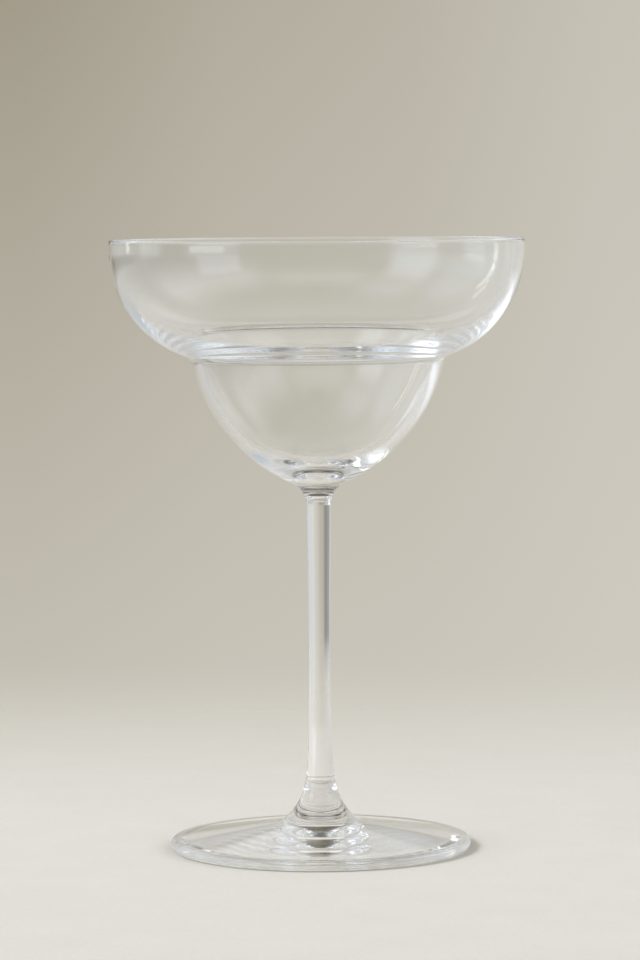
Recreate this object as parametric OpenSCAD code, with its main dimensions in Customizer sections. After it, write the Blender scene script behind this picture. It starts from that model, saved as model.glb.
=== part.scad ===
// Clear stemmed cocktail glass with a two-tier bowl: a wide upper bowl, a narrower lower bowl,
// a drawn stem and a broad foot, fused to each other at two weld rings.
// Millimetres, +Z up, origin on the table under the middle of the foot.

/* [Whole glass] */
// Height from the table to the top of the rim
glass_height = 174; // [168:1:182]
// Outside diameter at the rim
rim_diameter = 118; // [114:1:122]
// Outside diameter of the foot
foot_diameter = 86; // [78:1:94]

/* [Upper bowl] */
// Glass thickness at the rim, rounded over at the top
rim_wall = 1.2; // [1:0.1:1.6]
// Height of the straight part of the wall under the rim
rim_straight = 3; // [2:0.5:5]
// Outside radius of the curve from the rim wall to the waist
upper_curve = 31.8; // [31:0.2:33]
// Glass thickness just above the waist
waist_wall = 3; // [2.6:0.1:3.4]

/* [Lower bowl] */
// Outside diameter of the waist between the two tiers
waist_diameter = 72.6; // [70:0.2:75]
// Radius of the hollow corner outside the waist
waist_hollow = 2; // [1.4:0.1:2.6]
// Radius of the rounded step inside the waist
waist_step = 3.5; // [2.4:0.1:4.2]
// Height from the throat to the waist
lower_depth = 35.8; // [33:0.2:38]
// Outside radius of the lower wall, seen from the side
lower_curve = 50.7; // [46:0.1:58]
// Glass thickness of the lower wall
lower_wall = 2.8; // [2.2:0.1:3.2]
// Inside radius of the rounded bowl floor
floor_curve = 29.5; // [26:0.5:32]
// Outside diameter of the throat, where the bowl turns into the neck
throat_diameter = 16; // [15:0.2:18]

/* [Stem] */
// Stem diameter at its thinnest place
stem_diameter = 6.1; // [5.6:0.1:6.4]
// Stem diameter at its upper end
stem_top_diameter = 6.8; // [6.5:0.1:7.2]
// Stem diameter where its lower flare starts
stem_low_diameter = 6.4; // [6.4:0.1:6.8]
// Place of the thinnest stem, as a share of the straight stem's length
stem_thin_share = 0.4; // [0.2:0.05:0.8]
// Radius of the hollow neck curve between stem and bowl
neck_curve = 7; // [6:0.2:8]
// Height of the upper weld above the start of the neck curve
weld_rise = 2.9; // [2:0.1:4]
// Radius of the long flare at the lower end of the stem
stem_flare = 124; // [100:2:150]
// Depth of the fine groove round each weld
weld_groove = 0.2; // [0.1:0.05:0.3]

/* [Foot] */
// Diameter of the lower weld, on top of the foot
boss_diameter = 8.6; // [8:0.1:9.4]
// Height of the lower weld above the table
weld_height = 19.5; // [18.5:0.5:21]
// Radius of the flare from the weld down to the crown of the plate
foot_flare = 18; // [16:0.5:20]
// Diameter of the crown, where the flare ends
crown_diameter = 20; // [18:0.5:22]
// Radius of the fillet between the crown and the sloping plate
foot_fillet = 4; // [3:0.5:6]
// Glass thickness at the outer edge, rounded over
foot_edge = 3.3; // [2.8:0.1:3.6]
// Diameter of the hollow under the foot
hollow_diameter = 74; // [60:1:74]
// Depth of the hollow under the foot
hollow_depth = 2.5; // [1.5:0.1:3]

/* [Hidden] */
$fn = 240;
// how far joined outlines reach into each other
overlap = 1;

// half diameters
rim_r = rim_diameter / 2;
foot_r = foot_diameter / 2;
waist_r = waist_diameter / 2;
throat_r = throat_diameter / 2;
thin_r = stem_diameter / 2;
top_r = stem_top_diameter / 2;
low_r = stem_low_diameter / 2;
boss_r = boss_diameter / 2;
crown_r = crown_diameter / 2;
edge_r = foot_edge / 2;
lip_r = rim_wall / 2;
hollow_r = hollow_diameter / 2;

// where two circles cross, on the side to the right of the way from the first to the second
function crossing(c1, r1, c2, r2) =
    let (d = norm(c2 - c1))
    let (u = (c2 - c1) / d)
    let (a = (r1 * r1 - r2 * r2 + d * d) / (2 * d))
    let (h = sqrt(r1 * r1 - a * a))
    c1 + a * u + h * [u[1], -u[0]];
// middle of a circle of radius r through p and q, on the left of the way from p to q
function middle_of(p, q, r) =
    let (u = (q - p) / norm(q - p))
    (p + q) / 2 + sqrt(r * r - pow(norm(q - p) / 2, 2)) * [-u[1], u[0]];
// point at distance r from c, towards p
function towards(c, p, r) = c + r * (p - c) / norm(p - c);

// upper bowl, outside: middle of the curve, then the waist corner on it
shoulder_z = glass_height - rim_straight;
upper_mid = [rim_r - upper_curve, shoulder_z];
waist_pt = [waist_r, shoulder_z - sqrt(pow(upper_curve, 2) - pow(waist_r - upper_mid[0], 2))];
// lower bowl, outside
throat_pt = [throat_r, waist_pt[1] - lower_depth];
lower_mid = middle_of(throat_pt, waist_pt, lower_curve);
// upper bowl, inside: the wall thickens from the rim to the waist
rim_in_r = rim_r - rim_wall;
waist_in = towards(waist_pt, upper_mid, waist_wall);
upper_in_x = (pow(rim_in_r, 2) - pow(waist_in[0], 2) - pow(waist_in[1] - shoulder_z, 2))
    / (2 * (rim_in_r - waist_in[0]));
upper_in_mid = [upper_in_x, shoulder_z];
upper_in_curve = rim_in_r - upper_in_x;
// lower bowl, inside, and the point where its wall runs into the rounded floor
lower_in_curve = lower_curve - lower_wall;
step_pt = crossing(lower_mid, lower_in_curve, upper_in_mid, upper_in_curve);
floor_mid = [0, lower_mid[1] - sqrt(pow(lower_in_curve - floor_curve, 2) - pow(lower_mid[0], 2))];
floor_pt = [0, floor_mid[1] - floor_curve];
floor_end = towards(lower_mid, floor_mid, lower_in_curve);
// rounding of the waist, inside and outside
hollow_mid = crossing(lower_mid, lower_curve + waist_hollow, upper_mid, upper_curve + waist_hollow);
step_mid = crossing(lower_mid, lower_in_curve + waist_step, upper_in_mid, upper_in_curve + waist_step);
// neck and upper weld
neck_mid = [top_r + neck_curve,
    lower_mid[1] - sqrt(pow(lower_curve + neck_curve, 2) - pow(top_r + neck_curve - lower_mid[0], 2))];
neck_end = towards(lower_mid, neck_mid, lower_curve);
weld_up_z = neck_mid[1] + weld_rise;
weld_up_r = neck_mid[0] - sqrt(pow(neck_curve, 2) - pow(weld_rise, 2));
// lower weld and the flares on both sides of it, which share one slope there
flare_rise = sqrt(pow(stem_flare, 2) - pow(stem_flare - boss_r + low_r, 2));
weld_slope = asin(flare_rise / stem_flare);
foot_mid = [boss_r + foot_flare * cos(weld_slope), weld_height + foot_flare * sin(weld_slope)];
flare_mid = [low_r + stem_flare, weld_height + flare_rise];
thin_z = flare_mid[1] + stem_thin_share * (neck_mid[1] - flare_mid[1]);
// top of the foot: the flare ends at the crown, and a fillet turns it into a straight slope
// that runs out into the rounded edge
crown_pt = [crown_r, foot_mid[1] - sqrt(pow(foot_flare, 2) - pow(foot_mid[0] - crown_r, 2))];
fillet_mid = towards(crown_pt, foot_mid, foot_fillet);
edge_mid = [foot_r - edge_r, edge_r];
edge_way = edge_mid - fillet_mid;
plate_slope = atan2(-edge_way[1], edge_way[0]) - asin((foot_fillet + edge_r) / norm(edge_way));
plate_up = [sin(plate_slope), cos(plate_slope)];
plate_in = fillet_mid - foot_fillet * plate_up;
plate_out = edge_mid + edge_r * plate_up;
// hollow under the foot
hollow_curve = (pow(hollow_r, 2) + pow(hollow_depth, 2)) / (2 * hollow_depth);

module disc(c, r) {
    translate(c)
        circle(r);
}

// part of a circle that bulges past the straight way from p to q, on the right of that way
module bulge(p, q, c, r) {
    u = (q - p) / norm(q - p);
    out = [u[1], -u[0]];
    intersection() {
        disc(c, r);
        polygon([p, p + r * out, q + r * out, q, (p + q) / 2 - overlap * out]);
    }
}

// piece between a sharp corner and the circle that rounds it, which touches circles round p and q
module corner_fill(corner, c, r, p, q) {
    deep = towards(c, corner, norm(corner - c) + overlap);
    difference() {
        polygon([deep, towards(p, c, norm(c - p) - r), c, towards(q, c, norm(c - q) - r)]);
        disc(c, r);
    }
}

// fine groove round a weld
module groove(r, z) {
    polygon([[r - weld_groove, z], [r + 1, z + weld_groove + 1], [r + 1, z - weld_groove - 1]]);
}

module bowl_outside() {
    lip_z = glass_height - lip_r;
    difference() {
        union() {
            polygon([[0, weld_up_z], [weld_up_r, weld_up_z], neck_end, waist_pt, [rim_r, shoulder_z],
                [rim_r, lip_z], [0, lip_z]]);
            bulge(neck_end, waist_pt, lower_mid, lower_curve);
            bulge(waist_pt, [rim_r, shoulder_z], upper_mid, upper_curve);
            corner_fill(waist_pt, hollow_mid, waist_hollow, lower_mid, upper_mid);
        }
        disc(neck_mid, neck_curve);
        groove(weld_up_r, weld_up_z);
    }
}

module bowl_inside() {
    over = glass_height + 1;
    polygon([floor_pt, floor_end, step_pt, [rim_in_r, shoulder_z], [rim_in_r, over], [0, over]]);
    bulge(floor_pt, floor_end, floor_mid, floor_curve);
    bulge(floor_end, step_pt, lower_mid, lower_in_curve);
    bulge(step_pt, [rim_in_r, shoulder_z], upper_in_mid, upper_in_curve);
    corner_fill(step_pt, step_mid, waist_step, lower_mid, upper_in_mid);
}

// two-tier bowl with its drawn neck
module bowl() {
    color([0.86, 0.9, 0.9, 0.5])
        rotate_extrude()
            union() {
                difference() {
                    bowl_outside();
                    bowl_inside();
                }
                disc([rim_r - lip_r, glass_height - lip_r], lip_r);
            }
}

// drawn solid stem
module stem() {
    color([0.82, 0.88, 0.88, 0.5])
        rotate_extrude()
            difference() {
                polygon([[0, weld_height], [boss_r, weld_height], [low_r, flare_mid[1]], [thin_r, thin_z],
                    [top_r, neck_mid[1]], [weld_up_r, weld_up_z], [0, weld_up_z]]);
                disc(flare_mid, stem_flare);
                disc(neck_mid, neck_curve);
                groove(boss_r, weld_height);
                groove(weld_up_r, weld_up_z);
            }
}

// pressed foot with its boss
module foot() {
    color([0.78, 0.85, 0.86, 0.5])
        rotate_extrude()
            difference() {
                union() {
                    polygon([[0, 0], [edge_mid[0], 0], plate_out, plate_in, crown_pt, [boss_r, weld_height],
                        [0, weld_height]]);
                    disc(edge_mid, edge_r);
                }
                bulge([boss_r, weld_height], crown_pt, foot_mid, foot_flare);
                bulge(crown_pt, plate_in, fillet_mid, foot_fillet);
                disc([0, hollow_depth - hollow_curve], hollow_curve);
                groove(boss_r, weld_height);
            }
}

bowl();
stem();
foot();
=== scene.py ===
from collections import namedtuple
from math import asin, atan2, cos, degrees, pi, radians, sin, sqrt

import bpy
from mathutils import Matrix, Vector


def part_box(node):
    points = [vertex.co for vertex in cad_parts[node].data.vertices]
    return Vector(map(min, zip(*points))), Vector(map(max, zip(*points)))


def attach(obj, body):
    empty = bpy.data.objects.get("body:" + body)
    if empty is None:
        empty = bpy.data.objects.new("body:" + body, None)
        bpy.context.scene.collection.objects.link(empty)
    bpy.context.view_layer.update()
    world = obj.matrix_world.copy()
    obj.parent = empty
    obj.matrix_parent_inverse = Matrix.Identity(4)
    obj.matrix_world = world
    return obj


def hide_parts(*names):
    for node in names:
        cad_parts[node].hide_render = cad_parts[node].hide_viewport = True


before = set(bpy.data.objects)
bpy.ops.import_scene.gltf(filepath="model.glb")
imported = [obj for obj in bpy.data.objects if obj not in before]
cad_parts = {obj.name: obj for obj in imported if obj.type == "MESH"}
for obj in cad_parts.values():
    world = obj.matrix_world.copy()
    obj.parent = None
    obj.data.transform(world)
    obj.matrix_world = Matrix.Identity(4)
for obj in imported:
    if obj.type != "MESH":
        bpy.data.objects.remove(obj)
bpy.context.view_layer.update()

MM = 0.001

# driving sizes of the bowl, beside those that the frame gives
RIM_WALL = 1.2 * MM
RIM_STRAIGHT = 3 * MM
UPPER_CURVE = 31.8 * MM
WAIST_WALL = 3 * MM
WAIST_RADIUS = 36.3 * MM
WAIST_HOLLOW = 2 * MM
WAIST_STEP = 3.5 * MM
LOWER_DEPTH = 35.8 * MM
LOWER_CURVE = 50.7 * MM
LOWER_WALL = 2.8 * MM
BOTTOM_CURVE = 29.5 * MM
THROAT_RADIUS = 8 * MM

# driving sizes of the stem and the two welds
STEM_THIN_RADIUS = 3.05 * MM
STEM_TOP_RADIUS = 3.4 * MM
STEM_LOW_RADIUS = 3.2 * MM
STEM_THIN_SHARE = 0.4
STEM_FLARE = 124 * MM
NECK_CURVE = 7 * MM
WELD_RISE = 2.9 * MM
WELD_GROOVE = 0.2 * MM
BOSS_RADIUS = 4.3 * MM

# driving sizes of the foot, whose top ends in a narrow level land along its edge
FOOT_FLARE = 18 * MM
FOOT_FILLET = 4 * MM
CROWN_RADIUS = 10.3 * MM
LAND_HEIGHT = 2.9 * MM
LAND_RADIUS = 40 * MM
HOLLOW_RADIUS = 37 * MM
HOLLOW_DEPTH = 2.5 * MM

# fineness of the meshes: steps round the axis, then degrees for one step of each arc in an outline
STEPS_AROUND = 256
LIP_STEP = 10
WAIST_ROUND_STEP = 6
FOOT_EDGE_STEP = 4.5
FOOT_FILLET_STEP = 4
NECK_STEP = 2
BOTTOM_STEP = 1.5
FOOT_FLARE_STEP = 1.5
UPPER_STEP = 1.2
LOWER_STEP = 1
STEM_FLARE_STEP = 0.4
HOLLOW_STEP = 0.25

# parts of the straight and eased lines in an outline
WELD_PARTS = 3
RIM_PARTS = 3
RING_PARTS = 2
PLATE_PARTS = 12
STEM_LOW_PARTS = 16
STEM_HIGH_PARTS = 24

# degrees from which an edge stays crisp; the foot's land meets its plate at a small angle
CREASE = 25
FOOT_CREASE = 5
# points closer than this are one
SAME_POINT = 0.001 * MM

# clear glass, and the finish of fused glass inside a weld
GLASS_COLOUR = (0.985, 0.99, 0.985, 1)
GLASS_IOR = 1.52
FUSED_COLOUR = (1, 1, 1, 1)
FUSED_IOR = 1
# how close to a weld's height, and how level, a face of it is
WELD_REACH = 0.02 * MM
WELD_LEVEL = 0.99

# smears on the glass: roughness, noise scale and detail, and the part of the noise that shows
SMEAR = 0.02
SMEAR_NOISE = (35, 5)
SMEAR_SHOWS = (0.52, 0.75)
# uneven surface of the worked glass: noise scale and detail, and height on each piece
RIPPLE_NOISE = (40, 1)
BOWL_RIPPLE = 0.016 * MM
STEM_RIPPLE = 0.008 * MM
FOOT_RIPPLE = 0.012 * MM
# fine rings on the foot: spacing, height, and distances from the axis where they are gone and whole
RING_PITCH = 2.2 * MM
RING_HEIGHT = 0.003 * MM
RING_FADES = [(8 * MM, 11 * MM), (24 * MM, 16 * MM)]

# light that the glass lets through to what it shades: met squarely, at a grazing angle, and at the
# foot's rim, which starts at the first of two distances from the axis and is full at the second
SHADE_SQUARE = (1, 1, 1, 1)
SHADE_GRAZED = (0.05, 0.05, 0.05, 1)
SHADE_RIM = (0.28, 0.27, 0.23, 1)
GRAZE_BLEND = 0.03
FOOT_RIM = (41 * MM, 42.6 * MM)

# camera at the photograph's place: sensor and lens in millimetres, dip and lean in degrees
CAMERA_PLACE = (0.49 * MM, -1119.5 * MM, 185.65 * MM)
CAMERA_SENSOR = 36
CAMERA_LENS = 147.76
CAMERA_DIP = 4.10
CAMERA_LEAN = -0.402

# pale floor: a disc just under the foot, with a fine grain on a slow mottle
FLOOR_RADIUS = 1.5
FLOOR_SIDES = 96
FLOOR_DROP = 0.1 * MM
FLOOR_DARK = (0.80, 0.765, 0.69, 1)
FLOOR_PALE = (0.92, 0.885, 0.81, 1)
GRAIN_NOISE = (650, 3)
GRAIN_HEIGHT = 0.012 * MM
MOTTLE_NOISE = (45, 2)
MOTTLE_SHARE = 0.4
# along each axis, where the floor is gone and where it is whole
FLOOR_FADES = [("X", -0.48, -0.2), ("X", 0.48, 0.46), ("Y", -0.45, -0.43), ("Y", 0.48, 0.0)]

# soft lamp at the left that lights the floor
LAMP_PLACE = (-2.4, -0.6, 2.0)
LAMP_SIZE = 1.2
LAMP_COLOUR = (1, 0.985, 0.965)
LAMP_RADIANCE = 16.4

# studio round the glass: grey level by degrees round from the back, right is plus, below and above
# the horizon, and a factor by degrees up
TURN_RANGE = (-180, 180)
RISE_RANGE = (-90, 90)
STUDIO_LOW = [
    (-180, 0.50), (-140, 0.50), (-95, 0.60), (-35, 0.60), (-10, 0.60), (0, 0.62), (10, 0.655),
    (30, 0.72), (60, 0.72), (80, 0.50), (100, 0.40), (130, 0.45), (180, 0.50),
]
STUDIO_HIGH = [
    (-180, 0.50), (-100, 0.60), (-65, 0.85), (-45, 0.75), (-28, 0.48), (-12, 0.30), (-5, 0.335),
    (0, 0.45), (5, 0.565), (14, 0.62), (40, 0.66), (80, 0.60), (130, 0.50), (180, 0.50),
]
STUDIO_UP = [
    (-90, 0.8), (-30, 0.9), (-10, 1.0), (8, 1.0), (25, 0.85), (36, 0.5), (48, 0.22), (60, 0.15), (90, 0.15),
]
# degrees up between which the lower levels turn into the upper ones
HORIZON = (-10, 4)
# dark strip low at the back left
STRIP_ACROSS = [(-180, 0), (-75, 0), (-52, 0.55), (-26, 0.55), (-12, 0), (180, 0)]
STRIP_UP = [(-90, 0), (-7.8, 0), (-6.2, 1), (-3.2, 1), (-1.5, 0), (90, 0)]
# warmth of the greys by degrees round, and what full warmth adds to the powers of green and blue
STUDIO_WARM = [(-180, 0.1), (-40, 0.1), (-10, 1), (10, 1), (40, 0.1), (180, 0.1)]
WARM_GREEN = 0.09
WARM_BLUE = 0.33

# panels hung in the studio, later ones in front: degrees round and up, softness of the edges, colour,
# and whether degrees round count the same way to both sides
Panel = namedtuple("Panel", "turns rises soft colour mirrored", defaults=[False])
PANELS = [
    # left side
    Panel((-137, -110), (-20, -3), 2, (1.3, 1.4, 1.65)),
    Panel((-110, -60), (-20, -3), 5, (0.48, 0.51, 0.56)),
    Panel((-135, -105), (-3, 36), 7, (1.7, 1.8, 2.1)),
    Panel((-128, -106), (-1.4, 0.2), 0.8, (2.6, 2.7, 2.8)),
    Panel((-84, -66), (-2, 9), 4, (1.6, 1.75, 1.95)),
    Panel((-96, -64), (15, 45), 9, (0.75, 0.88, 1.1)),
    Panel((-145, -100), (38, 60), 12, (0.9, 1.0, 1.1)),
    # back left, with one narrow bright panel
    Panel((-62, -40), (3, 30), 4, (0.56, 0.585, 0.59)),
    Panel((-54, -50), (-1, 26), 1.5, (2.6, 2.6, 2.55)),
    Panel((-40, -25), (2, 14), 2, (0.53, 0.535, 0.525)),
    # back right
    Panel((17, 58), (3, 14), 2, (0.54, 0.54, 0.525)),
    Panel((14, 38), (-14, -9), 1.5, (1.0, 1.02, 1.05)),
    # right side
    Panel((60, 137), (-20, -3), 5, (0.83, 0.95, 1.0)),
    Panel((64, 137), (-3, 17), 5, (0.46, 0.53, 0.60)),
    Panel((60, 142), (20, 45), 14, (1.55, 1.6, 1.75)),
    # back, above the camera's view
    Panel((-20, 20), (6, 11.5), 2, (0.66, 0.64, 0.60)),
    Panel((-22, 22), (13, 18), 1.5, (0.48, 0.48, 0.465)),
    Panel((-24, 24), (20.5, 32), 1.5, (0.85, 0.85, 0.83)),
    # front, over the camera, the upper one dark
    Panel((150, 205), (28, 46), 12, (1.05, 1.1, 1.08), mirrored=True),
    Panel((170, 200), (48, 60), 2, (0.05, 0.055, 0.065), mirrored=True),
]

# light passes many faces of glass before it leaves
GLASS_BOUNCES = 256
CLEAR_BOUNCES = 64


def crossing(c1, r1, c2, r2):
    """Where two circles cross, on the right of the way from the first to the second."""
    d = (c2 - c1).length
    u = (c2 - c1) / d
    a = (r1 * r1 - r2 * r2 + d * d) / (2 * d)
    h = sqrt(r1 * r1 - a * a)
    return c1 + a * u + h * Vector((u.y, -u.x))


def middle_of(p, q, r):
    """Middle of a circle of radius r through p and q, on the left of the way from p to q."""
    u = (q - p).normalized()
    return (p + q) / 2 + sqrt(r * r - ((q - p).length / 2) ** 2) * Vector((-u.y, u.x))


def towards(c, p, r):
    """Point at distance r from c, towards p."""
    return c + r * (p - c).normalized()


def point(r, z):
    """Place in a half outline: distance from the axis, and height."""
    return Vector((r, z))


# sizes that the frame gives
bowl_low, bowl_high = (Vector(v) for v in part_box("bowl"))
foot_low, foot_high = (Vector(v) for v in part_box("foot"))
rim_r = round((bowl_high.x - bowl_low.x) / 2, 4)
foot_r = round((foot_high.x - foot_low.x) / 2, 4)
top_z = bowl_high.z
weld_low_z = round(foot_high.z, 4)

# bowl, outside: curve of the upper tier, waist, curve of the lower tier
shoulder_z = top_z - RIM_STRAIGHT
upper_mid = point(rim_r - UPPER_CURVE, shoulder_z)
waist_drop = sqrt(UPPER_CURVE ** 2 - (WAIST_RADIUS - upper_mid.x) ** 2)
waist_pt = point(WAIST_RADIUS, shoulder_z - waist_drop)
throat_pt = point(THROAT_RADIUS, waist_pt.y - LOWER_DEPTH)
lower_mid = middle_of(throat_pt, waist_pt, LOWER_CURVE)

# bowl, inside: the wall thickens from the rim to the waist, and the lower wall runs into the bottom
rim_in_r = rim_r - RIM_WALL
waist_in = towards(waist_pt, upper_mid, WAIST_WALL)
waist_in_reach = waist_in.x ** 2 + (waist_in.y - shoulder_z) ** 2
upper_in_x = (rim_in_r ** 2 - waist_in_reach) / (2 * (rim_in_r - waist_in.x))
upper_in_mid = point(upper_in_x, shoulder_z)
upper_in_curve = rim_in_r - upper_in_x
lower_in_curve = LOWER_CURVE - LOWER_WALL
bottom_drop = sqrt((lower_in_curve - BOTTOM_CURVE) ** 2 - lower_mid.x ** 2)
bottom_mid = point(0, lower_mid.y - bottom_drop)
bottom_end = towards(lower_mid, bottom_mid, lower_in_curve)

# rounding of the waist, outside and inside
hollow_mid = crossing(lower_mid, LOWER_CURVE + WAIST_HOLLOW, upper_mid, UPPER_CURVE + WAIST_HOLLOW)
step_mid = crossing(lower_mid, lower_in_curve + WAIST_STEP, upper_in_mid, upper_in_curve + WAIST_STEP)

# neck and upper weld, with the directions of its groove's two ends from the neck curve's middle
neck_x = STEM_TOP_RADIUS + NECK_CURVE
neck_drop = sqrt((LOWER_CURVE + NECK_CURVE) ** 2 - (neck_x - lower_mid.x) ** 2)
neck_mid = point(neck_x, lower_mid.y - neck_drop)
weld_up_z = neck_mid.y + WELD_RISE
weld_up_r = neck_mid.x - sqrt(NECK_CURVE ** 2 - WELD_RISE ** 2)
groove_up_turn = asin((WELD_RISE + WELD_GROOVE) / NECK_CURVE)
groove_low_turn = asin((WELD_RISE - WELD_GROOVE) / NECK_CURVE)

# lower weld, and the flares on both sides of it, which share one slope there
flare_rise = sqrt(STEM_FLARE ** 2 - (STEM_FLARE - BOSS_RADIUS + STEM_LOW_RADIUS) ** 2)
flare_mid = point(STEM_LOW_RADIUS + STEM_FLARE, weld_low_z + flare_rise)
thin_z = flare_mid.y + STEM_THIN_SHARE * (neck_mid.y - flare_mid.y)
weld_slope = asin(flare_rise / STEM_FLARE)
foot_mid = point(BOSS_RADIUS, weld_low_z) + FOOT_FLARE * point(cos(weld_slope), sin(weld_slope))

# foot: crown, fillet, sloping plate, land and rounded edge, and the hollow underneath
crown_drop = sqrt(FOOT_FLARE ** 2 - (foot_mid.x - CROWN_RADIUS) ** 2)
crown_pt = point(CROWN_RADIUS, foot_mid.y - crown_drop)
fillet_mid = towards(crown_pt, foot_mid, FOOT_FILLET)
plate_out = point(LAND_RADIUS, LAND_HEIGHT)
plate_way = plate_out - fillet_mid
plate_slope = atan2(-plate_way.y, plate_way.x) - asin(FOOT_FILLET / plate_way.length)
plate_in = fillet_mid - FOOT_FILLET * point(sin(plate_slope), cos(plate_slope))
edge_r = LAND_HEIGHT / 2
edge_mid = point(foot_r - edge_r, edge_r)
under_curve = (HOLLOW_RADIUS ** 2 + HOLLOW_DEPTH ** 2) / (2 * HOLLOW_DEPTH)


class Outline:
    """A half outline drawn with one pen in edit mode, then turned about the glass's axis."""

    def __init__(self, name, start):
        bpy.ops.object.select_all(action="DESELECT")
        bpy.ops.mesh.primitive_plane_add(size=MM, location=(0, 0, 0))
        self.piece = bpy.context.object
        self.piece.name = name
        self.piece.data.name = name
        bpy.ops.object.mode_set(mode="EDIT")
        bpy.ops.mesh.merge(type="CENTER")
        bpy.ops.transform.translate(value=(start.x, 0, start.y))
        self.pen = start.copy()

    def line(self, end, parts=1):
        """Straight way from the pen to the end."""
        step = (end - self.pen) / parts
        for _ in range(parts):
            bpy.ops.mesh.extrude_region_move(TRANSFORM_OT_translate={"value": (step.x, 0, step.y)})
        self.pen = end.copy()

    def eased(self, end, parts):
        """Way that starts and ends upright and eases from one distance from the axis to the other."""
        start = self.pen.copy()
        way = end - start
        for k in range(1, parts + 1):
            t = k / parts
            self.line(start + point(way.x * t * t * (3 - 2 * t), way.y * t))

    def arc(self, middle, end, step):
        """Shorter way round the middle, from the pen to the end's direction."""
        a = self.pen - middle
        b = end - middle
        turn = (atan2(b.y, b.x) - atan2(a.y, a.x) + pi) % (2 * pi) - pi
        steps = max(2, round(abs(degrees(turn)) / step))
        bpy.ops.mesh.spin(steps=steps, angle=turn, center=(middle.x, 0, middle.y), axis=(0, 1, 0))
        self.pen = middle + a.length * b.normalized()

    def turned(self, crease=CREASE):
        """The closed body that the outline sweeps in a full turn."""
        bpy.ops.mesh.select_all(action="SELECT")
        bpy.ops.mesh.spin(steps=STEPS_AROUND, angle=2 * pi, center=(0, 0, 0), axis=(0, 0, 1))
        bpy.ops.mesh.select_all(action="SELECT")
        bpy.ops.mesh.remove_doubles(threshold=SAME_POINT)
        bpy.ops.mesh.normals_make_consistent(inside=False)
        bpy.ops.object.mode_set(mode="OBJECT")
        bpy.ops.object.shade_smooth_by_angle(angle=radians(crease))
        return self.piece


def make_bowl():
    """Two-tier bowl: up the outside from the weld, over the rim, down the inside to the bottom."""
    lip_mid = point(rim_r - RIM_WALL / 2, top_z - RIM_WALL / 2)
    neck_start = neck_mid + NECK_CURVE * point(-cos(groove_up_turn), sin(groove_up_turn))
    o = Outline("bowl_glass", point(0, weld_up_z))
    o.line(point(weld_up_r - WELD_GROOVE, weld_up_z), WELD_PARTS)
    o.line(neck_start)
    o.arc(neck_mid, lower_mid, NECK_STEP)
    o.arc(lower_mid, hollow_mid, LOWER_STEP)
    o.arc(hollow_mid, upper_mid, WAIST_ROUND_STEP)
    o.arc(upper_mid, point(rim_r, shoulder_z), UPPER_STEP)
    o.line(point(rim_r, lip_mid.y), RIM_PARTS)
    o.arc(lip_mid, point(lip_mid.x, top_z), LIP_STEP)
    o.arc(lip_mid, point(rim_in_r, lip_mid.y), LIP_STEP)
    o.line(point(rim_in_r, shoulder_z), RIM_PARTS)
    o.arc(upper_in_mid, step_mid, UPPER_STEP)
    o.arc(step_mid, lower_mid, WAIST_ROUND_STEP)
    o.arc(lower_mid, bottom_end, LOWER_STEP)
    o.arc(bottom_mid, point(0, bottom_mid.y - BOTTOM_CURVE), BOTTOM_STEP)
    return o.turned()


def make_stem():
    """Drawn stem: out along the lower weld, up the flare and the eased taper to the upper weld."""
    flare_start_x = flare_mid.x - sqrt(STEM_FLARE ** 2 - (flare_rise - WELD_GROOVE) ** 2)
    neck_stop = neck_mid + NECK_CURVE * point(-cos(groove_low_turn), sin(groove_low_turn))
    o = Outline("stem_glass", point(0, weld_low_z))
    o.line(point(BOSS_RADIUS - WELD_GROOVE, weld_low_z), WELD_PARTS)
    o.line(point(flare_start_x, weld_low_z + WELD_GROOVE))
    o.arc(flare_mid, point(STEM_LOW_RADIUS, flare_mid.y), STEM_FLARE_STEP)
    o.eased(point(STEM_THIN_RADIUS, thin_z), STEM_LOW_PARTS)
    o.eased(point(STEM_TOP_RADIUS, neck_mid.y), STEM_HIGH_PARTS)
    o.arc(neck_mid, neck_stop, NECK_STEP)
    o.line(point(weld_up_r - WELD_GROOVE, weld_up_z))
    o.line(point(0, weld_up_z), WELD_PARTS)
    return o.turned()


def make_foot():
    """Pressed foot: out under the hollow, round the edge, in along the plate and up the boss to the weld."""
    boss_turn = asin((foot_mid.y - weld_low_z + WELD_GROOVE) / FOOT_FLARE)
    boss_stop = foot_mid - FOOT_FLARE * point(cos(boss_turn), sin(boss_turn))
    o = Outline("foot_glass", point(0, HOLLOW_DEPTH))
    o.arc(point(0, HOLLOW_DEPTH - under_curve), point(HOLLOW_RADIUS, 0), HOLLOW_STEP)
    o.line(point(edge_mid.x, 0), RING_PARTS)
    o.arc(edge_mid, point(foot_r, edge_mid.y), FOOT_EDGE_STEP)
    o.arc(edge_mid, point(edge_mid.x, LAND_HEIGHT), FOOT_EDGE_STEP)
    o.line(plate_out)
    o.line(plate_in, PLATE_PARTS)
    o.arc(fillet_mid, crown_pt, FOOT_FILLET_STEP)
    o.arc(foot_mid, boss_stop, FOOT_FLARE_STEP)
    o.line(point(BOSS_RADIUS - WELD_GROOVE, weld_low_z))
    o.line(point(0, weld_low_z), WELD_PARTS)
    return o.turned(FOOT_CREASE)


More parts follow.
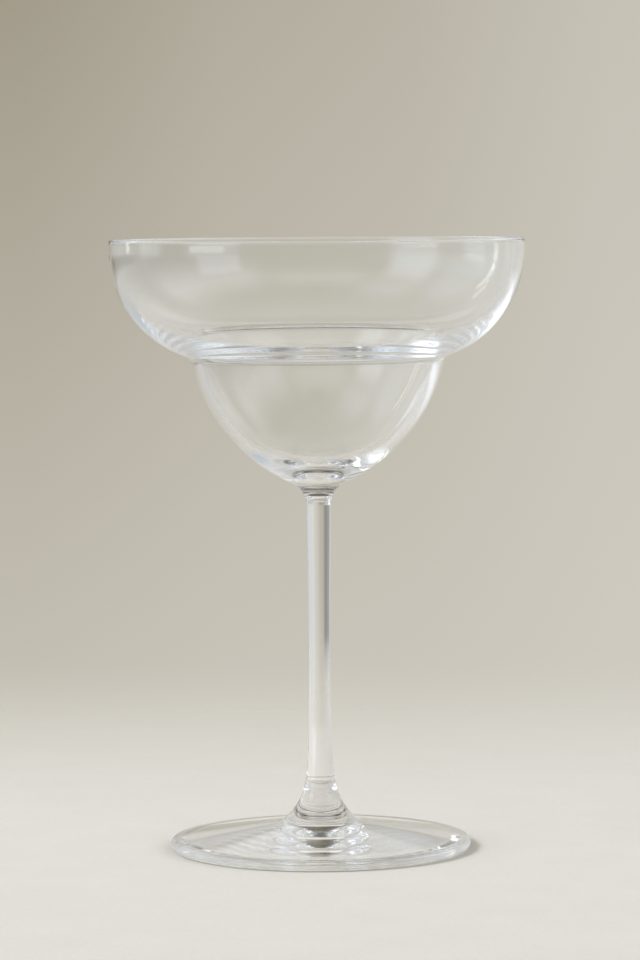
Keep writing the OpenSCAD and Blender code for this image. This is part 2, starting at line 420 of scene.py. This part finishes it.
class Wiring:
    """The nodes of one shader tree, added and joined one call at a time."""

    def __init__(self, tree):
        self.nodes = tree.nodes
        self.links = tree.links

    def feed(self, socket, value):
        """Join a node's output to the socket, or set a plain value on it."""
        if isinstance(value, bpy.types.NodeSocket):
            self.links.new(value, socket)
        else:
            socket.default_value = value

    def add(self, kind, inputs, **settings):
        """New node with its settings, and its inputs by name or number."""
        node = self.nodes.new("ShaderNode" + kind)
        for name, value in settings.items():
            setattr(node, name, value)
        for key, value in inputs.items():
            self.feed(node.inputs[key], value)
        return node

    def math(self, operation, *values):
        return self.add("Math", dict(enumerate(values)), operation=operation).outputs[0]

    def coordinates(self, kind):
        return self.add("TexCoord", {}).outputs[kind]

    def noise(self, place, scale, detail):
        return self.add("TexNoise", {"Vector": place, "Scale": scale, "Detail": detail}).outputs["Fac"]

    def from_axis(self, place):
        """Distance of a place from the glass's axis."""
        flat = self.add("VectorMath", {0: place, 1: (1, 1, 0)}, operation="MULTIPLY")
        return self.add("VectorMath", {0: flat.outputs["Vector"]}, operation="LENGTH").outputs["Value"]

    def ramp(self, value, start, end, way="LINEAR"):
        """0 at the start, 1 at the end and beyond; the start may be the higher of the two."""
        inputs = {"Value": value, "From Min": start, "From Max": end}
        return self.add("MapRange", inputs, interpolation_type=way).outputs["Result"]

    def ease(self, value, start, end):
        """As ramp, with soft ends."""
        return self.ramp(value, start, end, "SMOOTHSTEP")

    def between(self, value, low, high, soft):
        """1 from low to high, easing out to 0 over soft on either side."""
        up = self.ease(value, low - soft, low + soft)
        return self.math("MULTIPLY", up, self.ease(value, high + soft, high - soft))

    def blend(self, share, first, second):
        """Colour between two colours."""
        inputs = {"Factor": share, "A": first, "B": second}
        return self.add("Mix", inputs, data_type="RGBA").outputs["Result"]

    def levels(self, value, ends, stops):
        """Grey level by stops of (value, level) between the ends."""
        low, high = ends
        node = self.add("ValToRGB", {"Fac": self.ramp(value, low, high)})
        node.color_ramp.interpolation = "EASE"
        elements = node.color_ramp.elements
        while len(elements) < len(stops):
            elements.new(0.5)
        for element, (where, level) in zip(elements, stops):
            element.position = (where - low) / (high - low)
            element.color = (level, level, level, 1)
        return node.outputs["Color"]


def new_material(name):
    """Material with an empty tree, and the wiring for it."""
    material = bpy.data.materials.new(name)
    material.use_nodes = True
    material.node_tree.nodes.clear()
    return material, Wiring(material.node_tree)


def glass_surface():
    """Faint smears and the slight unevenness of worked glass, with fine rings where it was spun."""
    group = bpy.data.node_groups.new("glass_surface", "ShaderNodeTree")
    for way, names in (("INPUT", ("Smear", "Ripple", "Rings")), ("OUTPUT", ("Roughness", "Height"))):
        for name in names:
            group.interface.new_socket(name, in_out=way, socket_type="NodeSocketFloat")
    w = Wiring(group)
    given = w.nodes.new("NodeGroupInput").outputs
    out = w.nodes.new("NodeGroupOutput").inputs
    place = w.coordinates("Object")
    smears = w.ease(w.noise(place, *SMEAR_NOISE), *SMEAR_SHOWS)
    w.feed(out["Roughness"], w.math("MULTIPLY", smears, given["Smear"]))
    away = w.from_axis(place)
    rings = w.math("SINE", w.math("MULTIPLY", away, 2 * pi / RING_PITCH))
    for start, end in RING_FADES:
        rings = w.math("MULTIPLY", rings, w.ease(away, start, end))
    ripples = w.math("MULTIPLY", w.noise(place, *RIPPLE_NOISE), given["Ripple"])
    w.feed(out["Height"], w.math("ADD", ripples, w.math("MULTIPLY", rings, given["Rings"])))
    return group


def clear_glass(name, ripple, rings=0, rim=None):
    """Clear glass with a soft shadow, which deepens between a rim's two distances from the axis."""
    material, w = new_material(name)
    skin = w.add("Group", {"Smear": SMEAR, "Ripple": ripple, "Rings": rings}, node_tree=surface)
    bump = w.add("Bump", {"Strength": 1, "Distance": 1, "Height": skin.outputs["Height"]})
    glass = w.add("BsdfPrincipled", {
        "Base Color": GLASS_COLOUR,
        "IOR": GLASS_IOR,
        "Transmission Weight": 1,
        "Roughness": skin.outputs["Roughness"],
        "Normal": bump.outputs["Normal"],
    })
    facing = w.add("LayerWeight", {"Blend": GRAZE_BLEND}).outputs["Facing"]
    tint = w.blend(facing, SHADE_SQUARE, SHADE_GRAZED)
    if rim:
        away = w.from_axis(w.coordinates("Object"))
        tint = w.blend(w.ramp(away, *rim), tint, SHADE_RIM)
    through = w.add("BsdfTransparent", {"Color": tint})
    path = w.add("LightPath", {}).outputs
    shading = w.math("MAXIMUM", path["Is Shadow Ray"], path["Is Diffuse Ray"])
    mix = w.add("MixShader", {0: shading, 1: glass.outputs["BSDF"], 2: through.outputs["BSDF"]})
    w.add("OutputMaterial", {"Surface": mix.outputs["Shader"]})
    return material


def fused_glass(name):
    """Fused glass on both sides: nothing bends or shines there."""
    material, w = new_material(name)
    glass = w.add("BsdfPrincipled", {
        "Base Color": FUSED_COLOUR,
        "IOR": FUSED_IOR,
        "Transmission Weight": 1,
        "Roughness": 0,
    })
    w.add("OutputMaterial", {"Surface": glass.outputs["BSDF"]})
    return material


def dress(piece, node, finish, weld_heights):
    """Clear glass all over, the fused finish on the weld faces, and the piece's place in the frame."""
    piece.data.materials.append(finish)
    piece.data.materials.append(fused)
    for face in piece.data.polygons:
        at_weld = any(abs(face.center.z - z) < WELD_REACH for z in weld_heights)
        face.material_index = 1 if at_weld and abs(face.normal.z) > WELD_LEVEL else 0
    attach(piece, "root")
    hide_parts(node)


def make_camera():
    """Camera at the photograph's place, worked out from the rim's and the foot's ellipses."""
    data = bpy.data.cameras.new("camera")
    data.sensor_width = CAMERA_SENSOR
    data.lens = CAMERA_LENS
    camera = bpy.data.objects.new("camera", data)
    bpy.context.scene.collection.objects.link(camera)
    dip = Matrix.Rotation(radians(90 - CAMERA_DIP), 4, "X")
    lean = Matrix.Rotation(radians(CAMERA_LEAN), 4, "Z")
    camera.matrix_world = Matrix.Translation(CAMERA_PLACE) @ dip @ lean
    bpy.context.scene.camera = camera


def floor_paint(name):
    """Pale grained paint, which fades into the backdrop away from the glass."""
    material, w = new_material(name)
    place = w.coordinates("Object")
    grain = w.noise(place, *GRAIN_NOISE)
    mottle = w.add("Mix", {"Factor": MOTTLE_SHARE, "A": grain, "B": w.noise(place, *MOTTLE_NOISE)})
    bump = w.add("Bump", {"Strength": 1, "Distance": GRAIN_HEIGHT, "Height": grain})
    paint = w.add("BsdfDiffuse", {
        "Color": w.blend(mottle.outputs["Result"], FLOOR_DARK, FLOOR_PALE),
        "Roughness": grain,
        "Normal": bump.outputs["Normal"],
    })
    along = w.add("SeparateXYZ", {0: place}).outputs
    fades = [w.ease(along[axis], gone_at, whole_at) for axis, gone_at, whole_at in FLOOR_FADES]
    shown = fades[0]
    for fade in fades[1:]:
        shown = w.math("MULTIPLY", shown, fade)
    clear = w.add("BsdfTransparent", {})
    mix = w.add("MixShader", {0: shown, 1: clear.outputs["BSDF"], 2: paint.outputs["BSDF"]})
    w.add("OutputMaterial", {"Surface": mix.outputs["Shader"]})
    return material


def make_floor():
    """Pale floor just under the foot."""
    bpy.ops.object.select_all(action="DESELECT")
    bpy.ops.mesh.primitive_circle_add(
        vertices=FLOOR_SIDES, radius=FLOOR_RADIUS, fill_type="NGON", location=(0, 0, -FLOOR_DROP))
    floor = bpy.context.object
    floor.name = "pale_floor"
    floor.data.materials.append(floor_paint("pale_floor"))


def make_studio():
    """Soft greige studio, darker overhead, with light and dark panels that the glass mirrors and bends."""
    world = bpy.data.worlds.new("studio")
    bpy.context.scene.world = world
    world.use_nodes = True
    world.node_tree.nodes.clear()
    w = Wiring(world.node_tree)
    way = w.add("SeparateXYZ", {0: w.coordinates("Generated")}).outputs
    turn = w.math("DEGREES", w.math("ARCTAN2", way["X"], way["Y"]))
    rise = w.math("DEGREES", w.math("ARCSINE", way["Z"]))

    low = w.levels(turn, TURN_RANGE, STUDIO_LOW)
    high = w.levels(turn, TURN_RANGE, STUDIO_HIGH)
    gain = w.math("MULTIPLY", w.ramp(rise, *HORIZON), w.math("SUBTRACT", high, low))
    level = w.math("MULTIPLY", w.math("ADD", low, gain), w.levels(rise, RISE_RANGE, STUDIO_UP))
    across = w.levels(turn, TURN_RANGE, STRIP_ACROSS)
    strip = w.math("MULTIPLY", across, w.levels(rise, RISE_RANGE, STRIP_UP))
    level = w.math("MULTIPLY", level, w.math("SUBTRACT", 1, strip))
    warm = w.levels(turn, TURN_RANGE, STUDIO_WARM)
    green = w.math("POWER", level, w.math("ADD", 1, w.math("MULTIPLY", warm, WARM_GREEN)))
    blue = w.math("POWER", level, w.math("ADD", 1, w.math("MULTIPLY", warm, WARM_BLUE)))
    light = w.add("CombineColor", {"Red": level, "Green": green, "Blue": blue}).outputs["Color"]

    turn_either_way = w.math("ABSOLUTE", turn)
    for panel in PANELS:
        across = w.between(turn_either_way if panel.mirrored else turn, *panel.turns, panel.soft)
        upward = w.between(rise, *panel.rises, panel.soft)
        light = w.blend(w.math("MULTIPLY", across, upward), light, (*panel.colour, 1))
    background = w.add("Background", {"Color": light})
    w.add("OutputWorld", {"Surface": background.outputs["Background"]})


def make_lamp():
    """Lamp that faces the glass and lights the floor; the glass itself doesn't mirror it."""
    data = bpy.data.lights.new("floor_lamp", "AREA")
    data.shape = "DISK"
    data.size = LAMP_SIZE
    data.color = LAMP_COLOUR
    data.energy = LAMP_RADIANCE * pi * (pi * LAMP_SIZE ** 2 / 4)
    lamp = bpy.data.objects.new("floor_lamp", data)
    bpy.context.scene.collection.objects.link(lamp)
    lamp.location = LAMP_PLACE
    lamp.rotation_euler = Vector(LAMP_PLACE).to_track_quat("Z", "Y").to_euler()
    lamp.visible_camera = False
    lamp.visible_glossy = False
    lamp.visible_transmission = False


surface = glass_surface()
bowl_glass = clear_glass("bowl_glass", BOWL_RIPPLE)
stem_glass = clear_glass("stem_glass", STEM_RIPPLE)
foot_glass = clear_glass("foot_glass", FOOT_RIPPLE, RING_HEIGHT, FOOT_RIM)
fused = fused_glass("fused_weld")

dress(make_bowl(), "bowl", bowl_glass, [weld_up_z])
dress(make_stem(), "stem", stem_glass, [weld_up_z, weld_low_z])
dress(make_foot(), "foot", foot_glass, [weld_low_z])

make_camera()
make_floor()
make_studio()
make_lamp()

scene = bpy.context.scene
scene.view_settings.view_transform = "Standard"
scene.cycles.max_bounces = GLASS_BOUNCES
scene.cycles.transmission_bounces = GLASS_BOUNCES
scene.cycles.glossy_bounces = GLASS_BOUNCES
scene.cycles.transparent_max_bounces = CLEAR_BOUNCES
scene.cycles.caustics_refractive = False
scene.cycles.caustics_reflective = False
